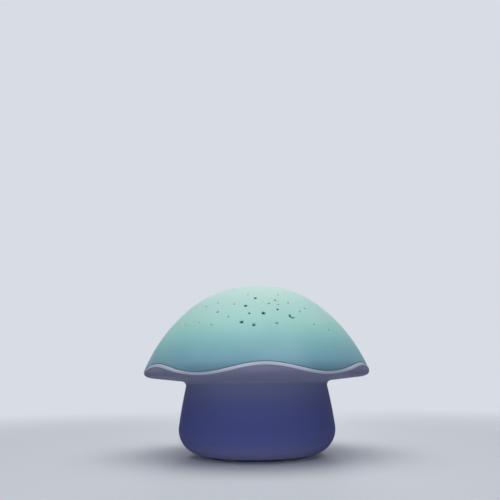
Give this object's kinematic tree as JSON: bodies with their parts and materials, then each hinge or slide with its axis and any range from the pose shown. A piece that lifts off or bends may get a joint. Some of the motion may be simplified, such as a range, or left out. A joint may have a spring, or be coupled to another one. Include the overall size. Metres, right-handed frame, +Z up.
{
  "type": "star night light projector",
  "caption": "Mushroom-shaped night light: a domed cap with star and moon windows over an LED, a wavy brim, a flared battery base with push buttons at the rear and a hinged battery door.",
  "frame": {"origin": "on the floor under the centre of the base, at the underside of the rubber feet", "axes": "+Z up through the dome, -Y towards the front wave crest, +Y towards the control buttons"},
  "size_m": [0.1398, 0.1394, 0.1057],
  "materials": {
    "mint_cap": "satin",
    "clear_dome": "clear, polished",
    "pale_shell": "fine satin texture",
    "foot_rubber": "matt",
    "screw_steel": "zinc plated",
    "contact_metal": "nickel plated",
    "panel_mint": "satin",
    "button_white": "satin",
    "black_plastic": "moulded",
    "green_board": "lacquered",
    "capacitor_can": "drawn can",
    "white_plastic": "moulded",
    "reflector_white": "white, matt",
    "wire_insulation": "smooth",
    "cell_can": "plain sleeve, metal ends"
  },
  "bodies": {
    "base": {"cap_shell": "mint_cap", "star_lens_dome": "clear_dome", "body_shell": "pale_shell", "bottom_cover": "pale_shell", "bottom_cover_screws": "screw_steel", "rubber_feet": "foot_rubber", "battery_springs": "contact_metal", "contact_plates": "contact_metal", "control_panel": "panel_mint", "switch_bodies": "black_plastic", "switch_board": "green_board", "switch_board_screws": "screw_steel", "main_board": "green_board", "main_board_screws": "screw_steel", "controller_chip": "black_plastic", "board_capacitor": "capacitor_can", "chip_resistors": "black_plastic", "board_connectors": "white_plastic", "light_deck": "reflector_white", "light_deck_screws": "screw_steel", "led_post": "reflector_white", "led_post_screws": "screw_steel", "led_board": "green_board", "led_board_screws": "screw_steel", "led_package": "white_plastic", "led_lens": "clear_dome", "led_wires": "wire_insulation", "switch_wires": "wire_insulation", "battery_wires": "wire_insulation", "battery_1": "cell_can", "battery_2": "cell_can", "battery_3": "cell_can"},
    "power_button": {"power_button": "button_white", "power_plunger": "black_plastic"},
    "colour_button": {"colour_button": "button_white", "colour_plunger": "black_plastic"},
    "timer_button": {"timer_button": "button_white", "timer_plunger": "black_plastic"},
    "battery_door": {"battery_door": "pale_shell"},
    "door_screw": {"door_screw": "screw_steel"}
  },
  "joints": [
    {"name": "power_press", "type": "slide", "parent": "base", "child": "power_button", "axis": [0, -1, 0], "range_m": [0, 0.0008], "stiffness_N_per_m": 500, "springref_m": -0.001},
    {"name": "colour_press", "type": "slide", "parent": "base", "child": "colour_button", "axis": [0, -1, 0], "range_m": [0, 0.0008], "stiffness_N_per_m": 500, "springref_m": -0.001},
    {"name": "timer_press", "type": "slide", "parent": "base", "child": "timer_button", "axis": [0, -1, 0], "range_m": [0, 0.0008], "stiffness_N_per_m": 500, "springref_m": -0.001},
    {"name": "door_hinge", "type": "hinge", "parent": "base", "child": "battery_door", "pos_m": [-0.0272, 0, 0.001], "axis": [0, 1, 0], "range_deg": [0, 85]},
    {"name": "door_screw_turn", "type": "hinge", "parent": "battery_door", "child": "door_screw", "pos_m": [0.0322, 0, 0.003], "axis": [0, 0, 1], "continuous": true}
  ]
}
